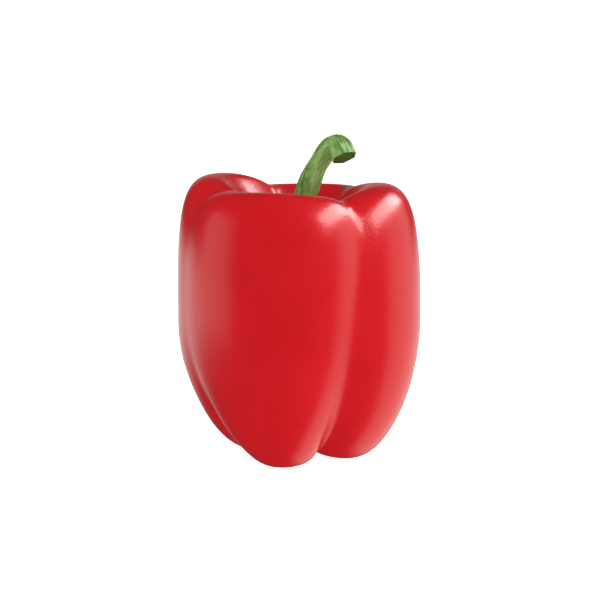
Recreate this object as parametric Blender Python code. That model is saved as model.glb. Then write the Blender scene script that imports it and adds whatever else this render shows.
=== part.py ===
# A blocky, four-lobed red bell pepper with its green calyx and its hooked stem,
# standing on the tips of its lobes. Blender units are metres, +Z is up and the
# front lobe faces -Y. Lengths below are in millimetres and angles in degrees.
# An azimuth is measured round +Z from -Y towards +X.

import math

import bmesh
import bpy
from mathutils import Matrix, Vector

MM = 0.001
GAP = 0.3  # clearance between pieces that touch

# Fruit: four lobes with a groove before each. A crest is the top of a shoulder,
# the belly is the widest place and the tip is what the lobe stands on.
HEIGHT = 100.0
LEAN = Vector((-2.0, -0.5))  # sideways drift of the core from the base to the top
LOBES = (
    {"crest": (28.0, 97.0), "belly": (42.5, 56.5), "tip": 22.0, "shoulder": 2.7, "side": 1.7},
    {"crest": (25.5, 97.5), "belly": (42.5, 50.0), "tip": 19.0, "shoulder": 3.5, "side": 1.8},
    {"crest": (29.5, 94.0), "belly": (43.0, 55.0), "tip": 20.0, "shoulder": 2.9, "side": 2.0},
    {"crest": (27.5, 99.6), "belly": (44.2, 46.0), "tip": 20.5, "shoulder": 3.95, "side": 1.9},
)
GROOVES = (
    {"azimuth": -71.0, "twist": -2.0, "crest": (22.5, 95.5), "belly": 41.5, "tip": (13.5, 5.0)},
    {"azimuth": 38.0, "twist": -17.0, "crest": (22.5, 93.0), "belly": 36.5, "tip": (7.5, 3.0)},
    {"azimuth": 129.0, "twist": 6.0, "crest": (24.0, 94.2), "belly": 38.0, "tip": (13.0, 6.0)},
    {"azimuth": 206.0, "twist": -1.0, "crest": (22.5, 94.5), "belly": 38.5, "tip": (12.5, 6.5)},
)
# the left lobe swells a little, low on its outer side
SWELLING = {"azimuth": -100.0, "height": 38.0, "rise": 0.9, "across": 28.0, "along": 14.0}
CREST_BULGE = (0.12, 0.58)  # how sharp the grooves are: edge radius and fullness
BELLY_BULGE = (0.22, 0.75)
TIP_BULGE = (0.12, 0.65)
HOLLOW_FLOOR = (11.0, 83.5)  # radius and height of the flat seat round the stem
SCAR_HEIGHT = 7.0  # blossom scar, in the middle of the base
FOOT_CUT = 0.4  # flattened by its own weight at the tip of each lobe
COLUMNS_PER_LOBE = 16
RING_BANDS = (("floor", 2), ("hollow", 7), ("shoulder", 14), ("side", 15), ("base", 6))

# Calyx: a green saucer pressed into the hollow, with a boss for the stem.
CALYX_RADIUS = 11.3
CALYX_TEETH = 6
TOOTH_DEPTH = 0.9
CALYX_THICKNESS = 1.2
BOSS_RADIUS = 5.4
BOSS_TOP = 88.0
BOSS_FOOT = 9.2  # radius where the boss has run out into the saucer
CALYX_COLUMNS = 48
CALYX_RINGS = 16

# Stem: leans over and ends in a tight hook that comes forward.
STEM_BASE = Vector((-0.6, -0.4, BOSS_TOP + GAP))
STEM_LENGTH = 34.9
# each table below holds (distance along the stem, value)
STEM_LEAN = ((0, 0), (3, 19), (9, 19), (16, 30), (22.5, 38), (26, 62), (29.5, 121), (32.5, 147))
STEM_TURN = ((0, 0), (12, 0), (29, 56))  # towards the front
STEM_RADIUS = ((0, 5.3), (3, 4.1), (7, 4.1), (11, 4.2), (18, 3.7), (28, 3.4), (31.5, 4.5), (35, 4.5))
STEM_RIDGES = 6
RIDGE_ANGLE = 6.0
RIDGE_TWIST = ((0, 0), (12, -30), (24, -60), (36, -80))
RIDGE_DEPTH = 0.1  # share of the radius
STEM_COLUMNS = 24
STEM_RINGS = 44

SKIN_RED = "C11E23"
CALYX_GREEN = "5C8238"
STEM_GREEN = "698844"


def along(table, at):
    """Reads a table of (position, value) pairs, straight between its entries."""
    for (low, first), (high, last) in zip(table, table[1:]):
        if at <= high:
            return first + (last - first) * (at - low) / (high - low)
    return table[-1][1]


def smooth(share):
    return share * share * (3 - 2 * share)


def bulge(share, edge, fullness):
    """0 in the groove, 1 on the lobe's middle line, rounded where it leaves the groove."""
    wave = math.sin(math.pi * share)
    raised = math.hypot(wave, edge) - edge
    return (raised / (math.hypot(1, edge) - edge)) ** fullness


def section(lobe, share):
    """The measures that shape one meridian, a share of the way across a lobe."""
    here, left, right = LOBES[lobe], GROOVES[lobe], GROOVES[(lobe + 1) % 4]
    ease = smooth(share)

    def lobed(kind, index, edge_and_fullness):
        def read(source):
            value = source[kind]
            return value[index] if isinstance(value, tuple) else value

        valley = read(left) + (read(right) - read(left)) * ease
        return valley + (read(here) - valley) * bulge(share, *edge_and_fullness)

    def blended(kind, index=None):
        def read(source):
            return source[kind] if index is None else source[kind][index]

        before = (read(LOBES[lobe - 1]) + read(here)) / 2
        after = (read(here) + read(LOBES[(lobe + 1) % 4])) / 2
        valley = before + (after - before) * ease
        return valley + (read(here) - valley) * bulge(share, 1.0, 1.0)

    valley_lift = left["tip"][1] + (right["tip"][1] - left["tip"][1]) * ease
    return {
        "crest_r": lobed("crest", 0, CREST_BULGE),
        "crest_z": lobed("crest", 1, CREST_BULGE),
        "belly_r": lobed("belly", 0, BELLY_BULGE),
        "belly_z": blended("belly", 1),
        "tip_r": lobed("tip", 0, TIP_BULGE),
        "tip_z": valley_lift * (1 - bulge(share, *TIP_BULGE)),
        "shoulder": blended("shoulder"),
        "side": blended("side"),
    }


def hollow_height(radius, cut):
    """Height of the hollow's surface at a radius, on the meridian described by cut."""
    floor_r, floor_z = HOLLOW_FLOOR
    share = max(0.0, min(1.0, (radius - floor_r) / (cut["crest_r"] - floor_r)))
    return floor_z + (cut["crest_z"] - floor_z) * (1 - (1 - share**1.4) ** 1.35)


def profile(band, share, cut):
    """Radius and height of a point, a share of the way along one band of a meridian."""
    turn = share * math.pi / 2
    if band == "floor":
        return HOLLOW_FLOOR[0] * share, HOLLOW_FLOOR[1]
    if band == "hollow":
        radius = HOLLOW_FLOOR[0] + (cut["crest_r"] - HOLLOW_FLOOR[0]) * share
        return radius, hollow_height(radius, cut)
    if band == "shoulder":
        power = 2 / cut["shoulder"]
        radius = cut["crest_r"] + (cut["belly_r"] - cut["crest_r"]) * math.sin(turn) ** power
        return radius, cut["belly_z"] + (cut["crest_z"] - cut["belly_z"]) * math.cos(turn) ** power
    if band == "side":
        power = 2 / cut["side"]
        radius = cut["tip_r"] + (cut["belly_r"] - cut["tip_r"]) * math.cos(turn) ** power
        return radius, cut["belly_z"] + (cut["tip_z"] - cut["belly_z"]) * math.sin(turn) ** power
    return cut["tip_r"] * (1 - share), cut["tip_z"] + (SCAR_HEIGHT - cut["tip_z"]) * smooth(share)


def meridian(lobe, share):
    """Azimuth and twist of a meridian, both in degrees."""
    left, right = GROOVES[lobe], GROOVES[(lobe + 1) % 4]
    span = (right["azimuth"] - left["azimuth"]) % 360
    twist = left["twist"] + (right["twist"] - left["twist"]) * share
    return left["azimuth"] + span * share, twist


def placed(radius, height, azimuth, twist):
    """A point of the fruit's own rounds, leaning and twisting with it, past its one swelling."""
    across = ((azimuth - SWELLING["azimuth"] + 180) % 360 - 180) / SWELLING["across"]
    lengthwise = (height - SWELLING["height"]) / SWELLING["along"]
    radius += SWELLING["rise"] * math.exp(-across * across - lengthwise * lengthwise)
    turn = math.radians(azimuth + twist * (1 - height / HEIGHT))
    drift = LEAN * height / HEIGHT
    return Vector((radius * math.sin(turn) + drift.x, drift.y - radius * math.cos(turn), height))


def sphere_place(co):
    """Azimuth and polar angle of a vertex of a unit sphere, both as shares of a turn."""
    return math.atan2(co.x, -co.y) / math.tau % 1.0, math.acos(max(-1.0, min(1.0, co.z))) / math.tau


def new_object(name, bm, color, roughness):
    """Closes a bmesh into a named object with its own material."""
    mesh = bpy.data.meshes.new(name)
    bm.to_mesh(mesh)
    bm.free()
    mesh.shade_smooth()
    mesh.set_sharp_from_angle(angle=math.radians(50))
    material = bpy.data.materials.new(name + "_skin")
    material.use_nodes = True
    shader = material.node_tree.nodes["Principled BSDF"]
    levels = [int(color[i : i + 2], 16) / 255 for i in (0, 2, 4)]
    linear = [((level + 0.055) / 1.055) ** 2.4 for level in levels]
    shader.inputs["Base Color"].default_value = (*linear, 1.0)
    shader.inputs["Roughness"].default_value = roughness
    shader.inputs["Metallic"].default_value = 0.0
    mesh.materials.append(material)
    piece = bpy.data.objects.new(name, mesh)
    bpy.context.scene.collection.objects.link(piece)
    return piece


def make_fruit():
    """A sphere drawn into lobes, then flattened at the tips that it stands on."""
    stations = [("floor", 0.0)]
    for band, count in RING_BANDS:
        stations += [(band, (i + 1) / count) for i in range(count)]
    columns = 4 * COLUMNS_PER_LOBE
    rings = len(stations) - 1
    bm = bmesh.new()
    bmesh.ops.create_uvsphere(bm, u_segments=columns, v_segments=rings, radius=1)
    for vert in bm.verts:
        around, down = sphere_place(vert.co)
        column = round(around * columns) % columns
        lobe, step = divmod(column, COLUMNS_PER_LOBE)
        share = step / COLUMNS_PER_LOBE
        band, part = stations[round(down * 2 * rings)]
        radius, height = profile(band, part, section(lobe, share))
        vert.co = placed(radius, height, *meridian(lobe, share)) * MM
    everything = bm.verts[:] + bm.edges[:] + bm.faces[:]
    floor = Vector((0, 0, FOOT_CUT * MM))
    bmesh.ops.bisect_plane(bm, geom=everything, plane_co=floor, plane_no=(0, 0, -1), clear_outer=True)
    bmesh.ops.holes_fill(bm, edges=[edge for edge in bm.edges if edge.is_boundary])
    bmesh.ops.recalc_face_normals(bm, faces=bm.faces)
    return new_object("fruit", bm, SKIN_RED, 0.25)


def make_calyx():
    """A sphere squashed onto the hollow's floor, with a scalloped edge and a flat-topped boss."""
    bm = bmesh.new()
    bmesh.ops.create_uvsphere(bm, u_segments=CALYX_COLUMNS, v_segments=CALYX_RINGS, radius=1)
    for vert in bm.verts:
        around, down = sphere_place(vert.co)
        lobe, share = divmod(around * 4, 1.0)
        lobe = int(lobe) % 4
        teeth = math.cos(math.tau * CALYX_TEETH * around)
        reach = CALYX_RADIUS + TOOTH_DEPTH * teeth
        radius = reach * math.sin(down * math.tau)
        height = hollow_height(radius, section(lobe, share)) + GAP
        if vert.co.z > -0.001:
            run_out = (BOSS_FOOT - radius) / (BOSS_FOOT - BOSS_RADIUS)
            rise = smooth(max(0.0, min(1.0, run_out)))
            rim = CALYX_THICKNESS * (0.5 + 0.5 * min(1.0, vert.co.z / 0.3))
            height += rim + (BOSS_TOP - height - rim) * rise
        vert.co = placed(radius, height, *meridian(lobe, share)) * MM
    return new_object("calyx", bm, CALYX_GREEN, 0.5)


def stem_route():
    """Frames along the stem's centre line: a matrix for each ring, with Z along the stem."""
    step = STEM_LENGTH / STEM_RINGS
    centre = STEM_BASE.copy()
    facing = Matrix.Identity(3)
    upright = Vector((0, 0, 1))
    frames = []
    for ring in range(STEM_RINGS + 1):
        lean = math.radians(along(STEM_LEAN, ring * step))
        turn = math.radians(along(STEM_TURN, ring * step))
        sideways = Vector((math.cos(turn), -math.sin(turn), 0)) * math.sin(lean)
        ahead = sideways + Vector((0, 0, math.cos(lean)))
        facing = upright.rotation_difference(ahead).to_matrix() @ facing
        upright = ahead
        frames.append(Matrix.Translation(centre) @ facing.to_4x4())
        centre = centre + ahead * step
    return frames


def make_stem():
    """A ribbed cylinder bent along the stem's route, flat at both ends."""
    frames = stem_route()
    step = STEM_LENGTH / STEM_RINGS
    bm = bmesh.new()
    bmesh.ops.create_cone(
        bm, cap_ends=True, segments=STEM_COLUMNS, radius1=1, radius2=1, depth=STEM_RINGS
    )
    upright_edges = [e for e in bm.edges if abs(e.verts[0].co.z - e.verts[1].co.z) > 1]
    bmesh.ops.subdivide_edges(bm, edges=upright_edges, cuts=STEM_RINGS - 1, use_grid_fill=True)
    for vert in bm.verts:
        ring = round(vert.co.z + STEM_RINGS / 2)
        around = math.atan2(vert.co.y, vert.co.x)
        turned = around - math.radians(RIDGE_ANGLE + along(RIDGE_TWIST, ring * step))
        ridge = (0.5 + 0.5 * math.cos(STEM_RIDGES * turned)) ** 1.5
        radius = along(STEM_RADIUS, ring * step) * (1 - RIDGE_DEPTH * (1 - ridge))
        outward = Vector((math.cos(around), math.sin(around), 0)) * radius
        vert.co = frames[ring] @ outward * MM
    return new_object("stem", bm, STEM_GREEN, 0.5)


def stand(pieces):
    """Moves the whole pepper so that its footprint is centred on Z and it stands at Z = 0."""
    corners = [vert.co for piece in pieces for vert in piece.data.vertices]
    low = Vector([min(co[i] for co in corners) for i in range(3)])
    high = Vector([max(co[i] for co in corners) for i in range(3)])
    shift = Vector((-(low.x + high.x) / 2, -(low.y + high.y) / 2, -low.z))
    for piece in pieces:
        piece.data.transform(Matrix.Translation(shift))


for old in list(bpy.data.objects):
    bpy.data.objects.remove(old, do_unlink=True)
stand([make_fruit(), make_calyx(), make_stem()])
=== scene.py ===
import math

import bmesh
import bpy
from mathutils import Matrix, Vector, noise


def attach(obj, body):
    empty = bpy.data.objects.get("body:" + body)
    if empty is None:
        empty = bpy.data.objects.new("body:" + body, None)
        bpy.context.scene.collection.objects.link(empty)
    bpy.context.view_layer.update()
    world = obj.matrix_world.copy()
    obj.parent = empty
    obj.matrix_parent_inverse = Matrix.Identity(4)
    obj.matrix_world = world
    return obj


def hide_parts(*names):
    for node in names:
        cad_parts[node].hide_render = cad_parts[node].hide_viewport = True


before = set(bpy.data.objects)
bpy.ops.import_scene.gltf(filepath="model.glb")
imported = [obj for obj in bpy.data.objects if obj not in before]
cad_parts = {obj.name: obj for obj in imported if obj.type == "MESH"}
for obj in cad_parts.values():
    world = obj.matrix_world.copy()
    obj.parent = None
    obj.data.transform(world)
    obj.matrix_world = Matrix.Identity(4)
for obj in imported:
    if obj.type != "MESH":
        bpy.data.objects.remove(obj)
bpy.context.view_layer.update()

mm = 0.001
up = Vector((0, 0, 1))


def smooth(share):
    share = max(0.0, min(1.0, share))
    return share * share * (3 - 2 * share)


def along(table, at):
    # reads a table of (position, value) pairs, straight between its entries
    for (low, first), (high, last) in zip(table, table[1:]):
        if at <= high:
            return first + (last - first) * (at - low) / (high - low)
    return table[-1][1]


def linear(hexColor):
    # an sRGB hex colour as the linear values that sockets take
    levels = [int(hexColor[i:i + 2], 16) / 255 for i in (0, 2, 4)]
    levels = [level / 12.92 if level < 0.04045 else ((level + 0.055) / 1.055) ** 2.4 for level in levels]
    return levels + [1.0]


def addNode(tree, kind, inputs=None, stops=None, **settings):
    # one node with its settings, its input values or links, and a ramp's stops
    node = tree.nodes.new(kind)
    for name, value in settings.items():
        setattr(node, name, value)
    for name, value in (inputs or {}).items():
        if isinstance(value, bpy.types.NodeSocket):
            tree.links.new(value, node.inputs[name])
        else:
            node.inputs[name].default_value = value
    for index, (place, color) in enumerate(stops or []):
        ramp = node.color_ramp.elements
        stop = ramp[index] if index < len(ramp) else ramp.new(place)
        stop.position = place
        stop.color = color
    return node


def newMaterial(name):
    material = bpy.data.materials.new(name)
    material.use_nodes = True
    tree = material.node_tree
    return material, tree, tree.nodes["Principled BSDF"]


def newPiece(name, bm, materials):
    # closes a bmesh into a smooth-shaded object at the origin
    mesh = bpy.data.meshes.new(name)
    bm.to_mesh(mesh)
    bm.free()
    mesh.shade_smooth()
    for material in materials:
        mesh.materials.append(material)
    piece = bpy.data.objects.new(name, mesh)
    bpy.context.scene.collection.objects.link(piece)
    return piece


# Lengths are in millimetres and angles in degrees, and an azimuth turns from -Y towards +X.
# A crest is the top of a shoulder, the belly is the widest place and a lobe stands on its tip;
# each of them is (radius, height).
fruit = {
    "height": 100.0,
    "lean": Vector((-2.0, -0.5)),  # sideways drift of the core from the base to the top
    "lobes": (  # front, right, back, left
        {"crest": (28.0, 97.0), "belly": (42.5, 56.5), "tip": (22.0, 0.0), "shoulder": 2.7, "side": 1.7},
        {"crest": (25.5, 97.5), "belly": (42.5, 50.0), "tip": (19.0, 0.0), "shoulder": 3.5, "side": 1.8},
        {"crest": (29.5, 94.0), "belly": (43.0, 55.0), "tip": (20.0, 0.0), "shoulder": 2.9, "side": 2.0},
        {"crest": (27.5, 99.6), "belly": (44.2, 46.0), "tip": (20.5, 0.0), "shoulder": 3.95, "side": 1.9},
    ),
    "grooves": (  # one before each lobe
        {"azimuth": -71.0, "twist": -2.0, "crest": (22.5, 95.5), "belly": 41.5, "tip": (13.5, 5.0)},
        {"azimuth": 38.0, "twist": -17.0, "crest": (22.5, 93.0), "belly": 36.5, "tip": (7.5, 3.0)},
        {"azimuth": 129.0, "twist": 6.0, "crest": (24.0, 94.2), "belly": 38.0, "tip": (13.0, 6.0)},
        {"azimuth": 206.0, "twist": -1.0, "crest": (22.5, 94.5), "belly": 38.5, "tip": (12.5, 6.5)},
    ),
    # the left lobe swells a little, low on its outer side
    "swelling": {"azimuth": -100.0, "height": 38.0, "rise": 0.9, "across": 28.0, "along": 14.0},
    "crestBulge": (0.12, 0.58),  # how sharp the grooves are: edge radius and fullness
    "bellyBulge": (0.22, 0.75),
    "tipBulge": (0.12, 0.65),
    "floor": (11.0, 83.5),  # flat seat round the stem: radius and height
    "hollow": (1.4, 1.35),  # how flat the hollow's wall starts and how steep it ends
    "scarHeight": 7.0,
    "footCut": 0.4,  # flattened by its own weight at the tip of each lobe
    "columnsPerLobe": 64,
    "bands": (("floor", 5), ("hollow", 28), ("shoulder", 56), ("side", 56), ("base", 25)),
    "smoothing": 14,  # passes that round the grooves off
    "waver": (0.2, 24.0),  # gentle unevenness of a grown surface: height and spacing
    "calm": (20.0, 12.0),  # it dies out inside this radius and below this height
    "scar": (3.2, 1.2),  # blossom scar: radius and depth
    # an olive patch at a groove's end by the hollow: its middle, its radius and
    # the radius inside which it is full
    "oliveTrace": (Vector((20.0, 17.5, 93.5)), 7.0, 2.0),
}


def bulge(share, edge, fullness):
    # 0 in the groove, 1 on the lobe's middle line, rounded where it leaves the groove
    wave = math.sin(math.pi * share)
    return ((math.hypot(wave, edge) - edge) / (math.hypot(1, edge) - edge)) ** fullness


def whichLobe(column):
    # the lobe that a column is on, and its share of the way across it
    lobe, step = divmod(column, fruit["columnsPerLobe"])
    return lobe, step / fruit["columnsPerLobe"]


def section(lobe, share):
    # the measures that shape one meridian
    lobes, grooves = fruit["lobes"], fruit["grooves"]
    here, left, right = lobes[lobe], grooves[lobe], grooves[(lobe + 1) % 4]
    before, after = lobes[lobe - 1], lobes[(lobe + 1) % 4]
    ease = smooth(share)

    def lobed(read, rule):
        valley = read(left) + (read(right) - read(left)) * ease
        return valley + (read(here) - valley) * bulge(share, *rule)

    def blended(read):
        first, last = (read(before) + read(here)) / 2, (read(here) + read(after)) / 2
        valley = first + (last - first) * ease
        return valley + (read(here) - valley) * bulge(share, 1.0, 1.0)

    return {
        "crestR": lobed(lambda row: row["crest"][0], fruit["crestBulge"]),
        "crestZ": lobed(lambda row: row["crest"][1], fruit["crestBulge"]),
        "bellyR": lobed(lambda row: row["belly"] if row in grooves else row["belly"][0], fruit["bellyBulge"]),
        "bellyZ": blended(lambda row: row["belly"][1]),
        "tipR": lobed(lambda row: row["tip"][0], fruit["tipBulge"]),
        "tipZ": lobed(lambda row: row["tip"][1], fruit["tipBulge"]),
        "shoulder": blended(lambda row: row["shoulder"]),
        "side": blended(lambda row: row["side"]),
    }


def hollowHeight(radius, cut):
    floorR, floorZ = fruit["floor"]
    flat, steep = fruit["hollow"]
    share = max(0.0, min(1.0, (radius - floorR) / (cut["crestR"] - floorR)))
    return floorZ + (cut["crestZ"] - floorZ) * (1 - (1 - share ** flat) ** steep)


def profile(band, share, cut):
    # radius and height of a point, a share of the way along one band of a meridian
    turn = share * math.pi / 2
    if band == "floor":
        return fruit["floor"][0] * share, fruit["floor"][1]
    if band == "hollow":
        radius = fruit["floor"][0] + (cut["crestR"] - fruit["floor"][0]) * share
        return radius, hollowHeight(radius, cut)
    if band == "shoulder":
        power = 2 / cut["shoulder"]
        radius = cut["crestR"] + (cut["bellyR"] - cut["crestR"]) * math.sin(turn) ** power
        return radius, cut["bellyZ"] + (cut["crestZ"] - cut["bellyZ"]) * math.cos(turn) ** power
    if band == "side":
        power = 2 / cut["side"]
        radius = cut["tipR"] + (cut["bellyR"] - cut["tipR"]) * math.cos(turn) ** power
        return radius, cut["bellyZ"] + (cut["tipZ"] - cut["bellyZ"]) * math.sin(turn) ** power
    return cut["tipR"] * (1 - share), cut["tipZ"] + (fruit["scarHeight"] - cut["tipZ"]) * smooth(share)


def meridian(lobe, share):
    # azimuth and twist
    left, right = fruit["grooves"][lobe], fruit["grooves"][(lobe + 1) % 4]
    span = (right["azimuth"] - left["azimuth"]) % 360
    return left["azimuth"] + span * share, left["twist"] + (right["twist"] - left["twist"]) * share


def placed(radius, height, azimuth, twist):
    # a point on the fruit's rounds, past the swelling, turning and leaning with its height
    swelling = fruit["swelling"]
    across = ((azimuth - swelling["azimuth"] + 180) % 360 - 180) / swelling["across"]
    lengthwise = (height - swelling["height"]) / swelling["along"]
    radius += swelling["rise"] * math.exp(-across ** 2 - lengthwise ** 2)
    turn = math.radians(azimuth + twist * (1 - height / fruit["height"]))
    drift = fruit["lean"] * height / fruit["height"]
    return Vector((radius * math.sin(turn) + drift.x, drift.y - radius * math.cos(turn), height))


def spherePlace(co):
    # where a vertex of a unit sphere lies, as shares of a turn: azimuth, and angle down from the pole
    return math.atan2(co.x, -co.y) / math.tau % 1.0, math.acos(max(-1.0, min(1.0, co.z))) / math.tau


def makeFruit(material):
    stations = [("floor", 0.0)]
    for band, count in fruit["bands"]:
        stations += [(band, (i + 1) / count) for i in range(count)]
    columns, rings = 4 * fruit["columnsPerLobe"], len(stations) - 1
    cuts = [section(*whichLobe(column)) for column in range(columns)]
    bm = bmesh.new()
    bmesh.ops.create_uvsphere(bm, u_segments=columns, v_segments=rings, radius=1)
    places = []
    for vert in bm.verts:
        around, down = spherePlace(vert.co)
        column = round(around * columns) % columns
        lobe, share = whichLobe(column)
        radius, height = profile(*stations[round(down * 2 * rings)], cuts[column])
        azimuth, twist = meridian(lobe, share)
        vert.co = placed(radius, height, azimuth, twist)
        places.append((radius, height))
    for _ in range(fruit["smoothing"]):
        bmesh.ops.smooth_vert(
            bm, verts=bm.verts, factor=0.5, use_axis_x=True, use_axis_y=True, use_axis_z=True)
    bm.normal_update()
    waver, spacing = fruit["waver"]
    calmR, calmZ = fruit["calm"]
    scarR, scarDepth = fruit["scar"]
    moves = []
    for vert, (radius, height) in zip(bm.verts, places):
        rise = waver * noise.noise(vert.co / spacing) * smooth(radius / calmR) * smooth(height / calmZ)
        if height < fruit["height"] / 2:
            rise -= scarDepth * (1 - smooth(radius / scarR))
        moves.append(vert.normal * rise)
    for vert, move in zip(bm.verts, moves):
        vert.co += move
    ground = Vector((0, 0, fruit["footCut"]))
    everything = bm.verts[:] + bm.edges[:] + bm.faces[:]
    bmesh.ops.bisect_plane(bm, geom=everything, plane_co=ground, plane_no=-up, clear_outer=True)
    feet = [edge for edge in bm.edges if edge.is_boundary]
    bmesh.ops.holes_fill(bm, edges=feet)
    bmesh.ops.recalc_face_normals(bm, faces=bm.faces)
    bmesh.ops.transform(bm, matrix=toFrame, verts=bm.verts)
    return newPiece("pepperFruit", bm, [material])


# from the axis that the pepper is drawn round to the middle of its footprint
shift = Vector((1.706, -0.116, -fruit["footCut"]))
toFrame = Matrix.Scale(mm, 4) @ Matrix.Translation(shift)


calyx = {
    "radius": 11.6,
    "teeth": 6,
    "toothDepth": 1.3,
    "thickness": 1.2,
    "rim": (0.4, 0.35),  # share of the thickness at the edge, and how far up it thickens
    "gap": 0.05,  # above the hollow's floor
    "bossRadius": 4.9,
    "bossTop": 88.1,
    "bossFoot": 9.0,  # radius where the boss has run out into the saucer
    "columns": 192,
    "rings": 64,
    "ribs": (12, 0.35),  # count and height
}


def makeCalyx(material):
    # a sphere squashed onto the hollow's floor, with a toothed edge and a boss for the stem
    edge, thickens = calyx["rim"]
    count, depth = calyx["ribs"]
    bm = bmesh.new()
    bmesh.ops.create_uvsphere(bm, u_segments=calyx["columns"], v_segments=calyx["rings"], radius=1)
    straight = bm.verts.layers.float_vector.new("straight")
    rib = bm.verts.layers.float.new("rib")
    for vert in bm.verts:
        around, down = spherePlace(vert.co)
        turn = math.tau * around
        lobe, share = divmod(around * 4, 1.0)
        wander = noise.noise(Vector((math.cos(turn) * 1.7, math.sin(turn) * 1.7, 3.1)))
        teeth = (0.5 + 0.5 * math.cos(calyx["teeth"] * turn + wander)) ** 2
        reach = calyx["radius"] + calyx["toothDepth"] * (teeth - 0.4) + 0.4 * wander
        radius = reach * math.sin(down * math.tau)
        height = hollowHeight(radius, section(int(lobe) % 4, share)) + calyx["gap"]
        ridge = (0.5 + 0.5 * math.cos(count * turn + wander)) ** 2
        if vert.co.z > -0.001:
            rise = smooth((calyx["bossFoot"] - radius) / (calyx["bossFoot"] - calyx["bossRadius"]))
            rim = calyx["thickness"] * (edge + (1 - edge) * min(1.0, vert.co.z / thickens))
            rim += depth * (ridge - 0.5) * smooth(radius / 6) * smooth(vert.co.z / 0.2)
            height += rim + (calyx["bossTop"] - height - rim) * rise
        vert[rib] = ridge * smooth((radius - 4) / 3)
        vert[straight] = Vector((math.cos(turn) * 6, math.sin(turn) * 6, radius)) * mm
        vert.co = placed(radius, height, *meridian(int(lobe) % 4, share))
    bmesh.ops.transform(bm, matrix=toFrame, verts=bm.verts)
    return newPiece("pepperCalyx", bm, [material])


# each table of the stem holds (distance along it, value)
stem = {
    "base": Vector((-0.6, -0.4, 88.3)),
    "sink": 1.0,  # how far it runs down into the calyx
    "length": 34.9,
    "lean": ((0, 0), (3, 19), (9, 19), (16, 30), (22.5, 38), (26, 62), (29.5, 121), (32.5, 147)),
    "turn": ((0, 0), (12, 0), (29, 56)),  # towards the front
    "radius": (
        (-1, 5.8), (0, 5.3), (3, 4.1), (7, 4.1), (11, 4.2), (18, 3.7), (28, 3.4), (31.5, 4.5), (35, 4.5)),
    "ribs": 6,
    "ribAngle": 6.0,
    "ribTwist": ((0, 0), (12, -30), (24, -60), (36, -80)),
    "ribDepth": 0.1,  # share of the radius
    "sag": 0.5,  # the cut face has dried and sunk a little
    "paintedLitSide": -30.0,  # painted light: the side painted paler, as if lit from there
    "columns": 144,
    "stepsPerMm": 6,
}


def stemRoute():
    # the stem's rings from the foot to the cut: distance along it, and a matrix with Z along it
    step = 1 / stem["stepsPerMm"]
    centre, facing, upright = stem["base"].copy(), Matrix.Identity(3), up.copy()
    rings = [(-stem["sink"], Matrix.Translation(centre - up * stem["sink"]))]
    for ring in range(round(stem["length"] / step) + 1):
        lean = math.radians(along(stem["lean"], ring * step))
        turn = math.radians(along(stem["turn"], ring * step))
        ahead = Vector((math.cos(turn) * math.sin(lean), -math.sin(turn) * math.sin(lean), math.cos(lean)))
        facing = upright.rotation_difference(ahead).to_matrix() @ facing
        upright = ahead
        rings.append((ring * step, Matrix.Translation(centre) @ facing.to_4x4()))
        centre = centre + ahead * step
    return rings


def makeStem(stalkMaterial, cutMaterial):
    # a ribbed cylinder, ring by ring along the stem's route
    rings = stemRoute()
    gaps = len(rings) - 1
    bm = bmesh.new()
    bmesh.ops.create_cone(bm, cap_ends=True, segments=stem["columns"], radius1=1, radius2=1, depth=gaps)
    upright = [edge for edge in bm.edges if abs(edge.verts[0].co.z - edge.verts[1].co.z) > 1]
    bmesh.ops.subdivide_edges(bm, edges=upright, cuts=gaps - 1, use_grid_fill=True)
    for cap in [face for face in bm.faces if len(face.verts) > 4]:
        for thickness in (0.12, 0.4):
            bmesh.ops.inset_individual(bm, faces=[cap], thickness=thickness)
    for face in bm.faces:
        if face.normal.z > 0.5:
            face.material_index = 1
    straight = bm.verts.layers.float_vector.new("straight")
    rib = bm.verts.layers.float.new("rib")
    paintedLit = bm.verts.layers.float.new("paintedLit")
    for vert in bm.verts:
        at, place = rings[round(vert.co.z + gaps / 2)]
        around, inset = math.atan2(vert.co.y, vert.co.x), math.hypot(vert.co.x, vert.co.y)
        wander = noise.noise(Vector((math.cos(around) * 2, math.sin(around) * 2, at / 9)))
        angle = around - math.radians(stem["ribAngle"] + along(stem["ribTwist"], at)) + 0.15 * wander
        ridge = (0.5 + 0.5 * math.cos(stem["ribs"] * angle)) ** 4
        vert[rib] = ridge
        # painted light: 1 on the side painted as lit, 0 on the far side
        vert[paintedLit] = 0.5 + 0.5 * math.cos(angle - math.radians(stem["paintedLitSide"]))
        radius = along(stem["radius"], at) * (1 - stem["ribDepth"] * (1 - ridge)) * inset
        vert[straight] = Vector((math.cos(around) * 4 * inset, math.sin(around) * 4 * inset, at)) * mm
        sag = stem["sag"] * (1 - inset) ** 2 if vert.co.z > 0 else 0
        vert.co = place @ Vector((math.cos(around) * radius, math.sin(around) * radius, -sag))
    bmesh.ops.transform(bm, matrix=toFrame, verts=bm.verts)
    return newPiece("pepperStem", bm, [stalkMaterial, cutMaterial])


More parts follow.
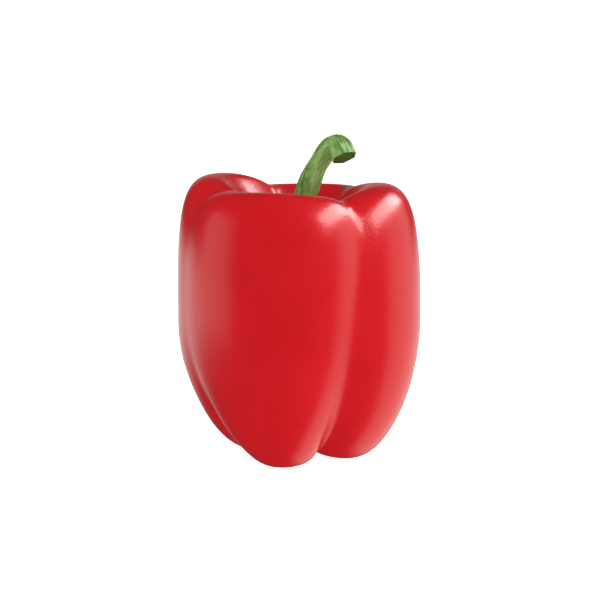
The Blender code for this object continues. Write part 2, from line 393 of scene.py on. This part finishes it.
def makeSkin():
    # ripe sweet pepper: a clear waxy cuticle over wet red flesh, glossy, its highlights broken by fine cells
    material, tree, shader = newMaterial("ripePepperSkin")
    place = addNode(tree, "ShaderNodeTexCoord").outputs["Object"]
    clouds = addNode(tree, "ShaderNodeTexNoise", {"Vector": place, "Scale": 1 / (22 * mm), "Detail": 3.0})
    reds = addNode(tree, "ShaderNodeValToRGB", {"Fac": clouds.outputs["Fac"]},
                   stops=[(0.3, linear("C2181F")), (0.7, linear("C81B23"))])
    # an olive patch mixed into the reds round one point by the hollow
    middle, edge, full = fruit["oliveTrace"]
    away = addNode(tree, "ShaderNodeVectorMath", {0: place, 1: middle * mm}, operation="DISTANCE")
    oliveTrace = addNode(tree, "ShaderNodeMapRange", {
        "Value": away.outputs["Value"], "From Min": edge * mm, "From Max": full * mm, "To Max": 0.7},
        interpolation_type="SMOOTHSTEP")
    colors = addNode(tree, "ShaderNodeMix", {
        0: oliveTrace.outputs["Result"], 6: reds.outputs["Color"], 7: linear("4E4C1E")}, data_type="RGBA")
    tree.links.new(colors.outputs[2], shader.inputs["Base Color"])
    # the real cells are under 0.1 mm; these are 0.8 mm, so that they break the highlights at all
    cells = addNode(tree, "ShaderNodeTexNoise", {"Vector": place, "Scale": 1 / (0.8 * mm)})
    bump = addNode(tree, "ShaderNodeBump", {
        "Height": cells.outputs["Fac"], "Strength": 1.0, "Distance": 0.08 * mm})
    tree.links.new(bump.outputs["Normal"], shader.inputs["Normal"])
    shader.inputs["Roughness"].default_value = 0.25
    shader.inputs["IOR"].default_value = 1.45
    shader.inputs["Coat Weight"].default_value = 0.15
    shader.inputs["Coat Roughness"].default_value = 0.15
    return material


def makeStalk():
    # fresh green stalk: long fibres under a dull skin, pale along the ribs, with short dark dashes, and
    # painted light that makes one side paler
    material, tree, shader = newMaterial("freshStalk")
    straight = addNode(tree, "ShaderNodeAttribute", attribute_name="straight").outputs["Vector"]
    # real fibres are about 0.1 mm apart; these are 0.4 mm, so that they show as streaks
    lengthwise = addNode(tree, "ShaderNodeMapping", {"Vector": straight, "Scale": (1.0, 1.0, 0.12)})
    fibres = addNode(tree, "ShaderNodeTexNoise", {
        "Vector": lengthwise.outputs["Vector"], "Scale": 1 / (0.4 * mm), "Detail": 3.0}).outputs["Fac"]
    greens = addNode(tree, "ShaderNodeValToRGB", {"Fac": fibres},
                     stops=[(0.4, linear("3E6424")), (0.5, linear("5E883C")), (0.6, linear("88AE58"))])
    shorter = addNode(tree, "ShaderNodeMapping", {"Vector": straight, "Scale": (1.0, 1.0, 0.25)})
    dashes = addNode(tree, "ShaderNodeTexNoise", {
        "Vector": shorter.outputs["Vector"], "Scale": 1 / (0.5 * mm), "Detail": 1.0})
    dark = addNode(tree, "ShaderNodeMapRange", {
        "Value": dashes.outputs["Fac"], "From Min": 0.58, "From Max": 0.66, "To Max": 0.7})
    dashed = addNode(tree, "ShaderNodeMix", {
        0: dark.outputs["Result"], 6: greens.outputs["Color"], 7: linear("345620")}, data_type="RGBA")
    # painted light: the lit side of the stalk is mixed towards a pale green
    side = addNode(tree, "ShaderNodeAttribute", attribute_name="paintedLit")
    paintedLightShare = addNode(tree, "ShaderNodeMapRange", {
        "Value": side.outputs["Fac"], "From Min": 0.5, "From Max": 0.95, "To Max": 0.38})
    withPaintedLight = addNode(tree, "ShaderNodeMix", {
        0: paintedLightShare.outputs["Result"], 6: dashed.outputs[2], 7: linear("A4D484")}, data_type="RGBA")
    ridge = addNode(tree, "ShaderNodeAttribute", attribute_name="rib")
    pale = addNode(tree, "ShaderNodeMapRange", {
        "Value": ridge.outputs["Fac"], "From Min": 0.82, "From Max": 1.0, "To Max": 0.5})
    ribbed = addNode(tree, "ShaderNodeMix", {
        0: pale.outputs["Result"], 6: withPaintedLight.outputs[2], 7: linear("B2CC88")}, data_type="RGBA")
    tree.links.new(ribbed.outputs[2], shader.inputs["Base Color"])
    bump = addNode(tree, "ShaderNodeBump", {"Height": fibres, "Strength": 1.0, "Distance": 0.15 * mm})
    tree.links.new(bump.outputs["Normal"], shader.inputs["Normal"])
    shader.inputs["Roughness"].default_value = 0.5
    shader.inputs["IOR"].default_value = 1.45
    return material


def makeCutStalk():
    # stalk cut with shears: flat, with a tough rim round a paler pith; its greens are darker than the stalk's
    # as painted shade
    material, tree, shader = newMaterial("cutStalk")
    straight = addNode(tree, "ShaderNodeAttribute", attribute_name="straight").outputs["Vector"]
    flat = addNode(tree, "ShaderNodeVectorMath", {0: straight, 1: (1, 1, 0)}, operation="MULTIPLY")
    out = addNode(tree, "ShaderNodeVectorMath", {0: flat.outputs[0]}, operation="LENGTH")
    outward = addNode(tree, "ShaderNodeMath", {0: out.outputs["Value"], 1: 4 * mm}, operation="DIVIDE")
    # darker greens than the stalk's: painted shade over the cut face
    rings = addNode(tree, "ShaderNodeValToRGB", {"Fac": outward.outputs[0]},
                    stops=[(0.25, linear("4A7034")), (0.7, linear("3C642A")), (0.8, linear("30541F")),
                           (0.95, linear("4E7A36"))])
    grains = addNode(tree, "ShaderNodeTexNoise", {"Vector": straight, "Scale": 1 / (0.5 * mm)}).outputs["Fac"]
    shade = addNode(tree, "ShaderNodeMapRange", {
        "Value": grains, "From Min": 0.4, "From Max": 0.65, "To Max": 0.35})
    colors = addNode(tree, "ShaderNodeMix", {
        0: shade.outputs["Result"], 6: rings.outputs["Color"], 7: linear("2C4D1B")}, data_type="RGBA")
    tree.links.new(colors.outputs[2], shader.inputs["Base Color"])
    bump = addNode(tree, "ShaderNodeBump", {"Height": grains, "Strength": 1.0, "Distance": 0.1 * mm})
    tree.links.new(bump.outputs["Normal"], shader.inputs["Normal"])
    shader.inputs["Roughness"].default_value = 0.6
    return material


pepperFruit = makeFruit(makeSkin())
print("fruit made:", len(pepperFruit.data.polygons), "faces")
stalk = makeStalk()
pepperCalyx = makeCalyx(stalk)
pepperStem = makeStem(stalk, makeCutStalk())
print("calyx and stem made")

for piece, node, slotName in (
    (pepperFruit, "fruit", "fruit_skin"),
    (pepperCalyx, "calyx", "calyx_green"),
    (pepperStem, "stem", "stem_green"),
):
    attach(piece, "root")
    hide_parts(node)


# directions are (azimuth, elevation) from the pepper, with azimuth 0 towards the camera
studio = {
    "target": Vector((0.4, -0.1, 55.3)) * mm,
    "distance": 0.6,
    "elevation": 10.0,
    "lens": 101.7,
    "lightDistance": 1.2,
    "paperGlow": 0.93,
    "paperRadius": 40.0,
    "fills": (  # broad soft lights that even out the shading: direction, size, power
        {"name": "frontFill", "toward": (5, -5), "size": (1.4, 1.4), "watts": 9.5},
        {"name": "rightFill", "toward": (75, 15), "size": (1.2, 1.2), "watts": 9.0},
        {"name": "leftFill", "toward": (-70, 12), "size": (1.2, 1.2), "watts": 8.5},
        {"name": "topFill", "toward": (20, 80), "size": (0.8, 0.8), "watts": 8.5},
        {"name": "tableFill", "toward": (30, -62), "size": (1.4, 1.4), "watts": 10.5},
    ),
    # the highlights come from a wide window
    "window": {"name": "window", "toward": (92, 38), "size": (1.7, 0.5), "watts": 26.0},
}


def hangLight(row, **visibility):
    azimuth, elevation = (math.radians(angle) for angle in row["toward"])
    level = math.cos(elevation)
    toward = Vector((level * math.sin(azimuth), -level * math.cos(azimuth), math.sin(elevation)))
    light = bpy.data.lights.new(row["name"], "AREA")
    light.shape = "RECTANGLE"
    light.size, light.size_y = row["size"]
    light.energy = row["watts"]
    lamp = bpy.data.objects.new(row["name"], light)
    lamp.location = studio["target"] + toward * studio["lightDistance"]
    lamp.rotation_euler = toward.to_track_quat("Z", "Y").to_euler()
    lamp.visible_camera = False
    for name, value in visibility.items():
        setattr(lamp, name, value)
    light.cycles.use_multiple_importance_sampling = lamp.visible_glossy  # a fill must not show in the gloss
    bpy.context.scene.collection.objects.link(lamp)


def makeCamera():
    tilt = math.radians(studio["elevation"])
    camera = bpy.data.objects.new("camera", bpy.data.cameras.new("camera"))
    camera.location = studio["target"] + Vector((0, -math.cos(tilt), math.sin(tilt))) * studio["distance"]
    camera.rotation_euler = (math.radians(90) - tilt, 0, 0)
    camera.data.lens = studio["lens"]
    camera.data.sensor_width = 36
    camera.data.clip_start = 0.01
    bpy.context.scene.collection.objects.link(camera)
    bpy.context.scene.camera = camera


# the gloss mirrors white walls at both sides, a dim low one behind and a white table that runs back
room = {
    "bright": 1.05,
    "dark": 0.04,
    # name, the axis of a direction that it is read on, where it is 0, where it is full, and its full value
    "edges": (
        ("beside", "aroundY", -0.42, -0.12, 1.0),
        ("leftHalf", "X", 0.2, -0.2, 0.9),
        ("rightHalf", "X", -0.2, 0.2, 1.0),
        ("leftEnd", "aroundY", 0.45, 0.28, 1.0),
        ("leftTop", "Z", 0.5, 0.34, 1.0),
        ("rightEnd", "aroundY", 0.75, 0.5, 1.0),
        ("rightTop", "Z", 0.68, 0.42, 1.0),
        ("backSide", "aroundY", 0.9, 0.97, 0.35),
        ("backTop", "Z", 0.4, 0.2, 1.0),
        ("tableEdge", "Z", -0.03, -0.12, 1.0),
        ("tableEnd", "aroundY", 0.995, 0.97, 1.0),
        ("tableFoot", "Z", -0.5, -0.2, 1.0),
        ("rightFoot", "X", 0.1, 0.4, 1.0),
    ),
    "joins": (  # name, rule and the two parts joined
        ("leftWall", "MULTIPLY", "leftEnd", "leftHalf"),
        ("leftWall", "MULTIPLY", "leftWall", "leftTop"),
        ("rightWall", "MULTIPLY", "rightEnd", "rightHalf"),
        ("rightWall", "MULTIPLY", "rightWall", "rightTop"),
        ("walls", "MAXIMUM", "leftWall", "rightWall"),
        ("back", "MULTIPLY", "backSide", "backTop"),
        ("table", "MULTIPLY", "tableEdge", "tableEnd"),
        ("behind", "MAXIMUM", "table", "back"),
        ("foot", "MAXIMUM", "tableFoot", "rightFoot"),
        ("lit", "MAXIMUM", "walls", "behind"),
        ("lit", "MULTIPLY", "lit", "beside"),
        ("lit", "MULTIPLY", "lit", "foot"),
    ),
}


def makeWorld():
    # the camera sees plain white, and everything else the room
    world = bpy.data.worlds.new("studioRoom")
    bpy.context.scene.world = world
    world.use_nodes = True
    tree = world.node_tree
    direction = addNode(tree, "ShaderNodeTexCoord").outputs["Generated"]
    axes = addNode(tree, "ShaderNodeSeparateXYZ", {"Vector": direction})
    level = addNode(tree, "ShaderNodeVectorMath", {0: direction, 1: (1, 1, 0)}, operation="MULTIPLY")
    level = addNode(tree, "ShaderNodeVectorMath", {0: level.outputs[0]}, operation="NORMALIZE")
    around = addNode(tree, "ShaderNodeSeparateXYZ", {"Vector": level.outputs[0]})
    across = {"X": axes.outputs["X"], "Z": axes.outputs["Z"], "aroundY": around.outputs["Y"]}
    parts = {}
    for name, axis, start, end, most in room["edges"]:
        parts[name] = addNode(tree, "ShaderNodeMapRange", {
            "Value": across[axis], "From Min": start, "From Max": end, "To Max": most},
            interpolation_type="SMOOTHSTEP").outputs["Result"]
    for name, rule, first, second in room["joins"]:
        joined = addNode(tree, "ShaderNodeMath", {0: parts[first], 1: parts[second]}, operation=rule)
        parts[name] = joined.outputs[0]
    strength = addNode(tree, "ShaderNodeMapRange", {
        "Value": parts["lit"], "To Min": room["dark"], "To Max": room["bright"]})
    background = tree.nodes["Background"]
    tree.links.new(strength.outputs["Result"], background.inputs["Strength"])
    background.inputs["Color"].default_value = linear("FFFAF2")
    backdrop = addNode(tree, "ShaderNodeBackground", {"Color": (1, 1, 1, 1), "Strength": 1.0})
    rays = addNode(tree, "ShaderNodeLightPath")
    mix = addNode(tree, "ShaderNodeMixShader", {
        0: rays.outputs["Is Camera Ray"], 1: background.outputs[0], 2: backdrop.outputs[0]})
    tree.links.new(mix.outputs[0], tree.nodes["World Output"].inputs["Surface"])


def makeFloor():
    # white paper that glows for the camera, so that it runs into the backdrop
    paper, tree, shader = newMaterial("whitePaper")
    shader.inputs["Base Color"].default_value = (0.85, 0.85, 0.85, 1)
    shader.inputs["Roughness"].default_value = 0.9
    shader.inputs["Emission Color"].default_value = (1, 1, 1, 1)
    shader.inputs["Emission Strength"].default_value = studio["paperGlow"]
    bm = bmesh.new()
    bmesh.ops.create_circle(bm, cap_ends=True, segments=64, radius=studio["paperRadius"])
    floor = newPiece("floor", bm, [paper])
    floor.visible_glossy = floor.visible_diffuse = floor.visible_shadow = False


bpy.context.scene.view_settings.view_transform = "Standard"
makeCamera()
makeWorld()
makeFloor()
for fill in studio["fills"]:
    hangLight(fill, visible_glossy=False)
hangLight(studio["window"], visible_diffuse=False)
print("studio made")
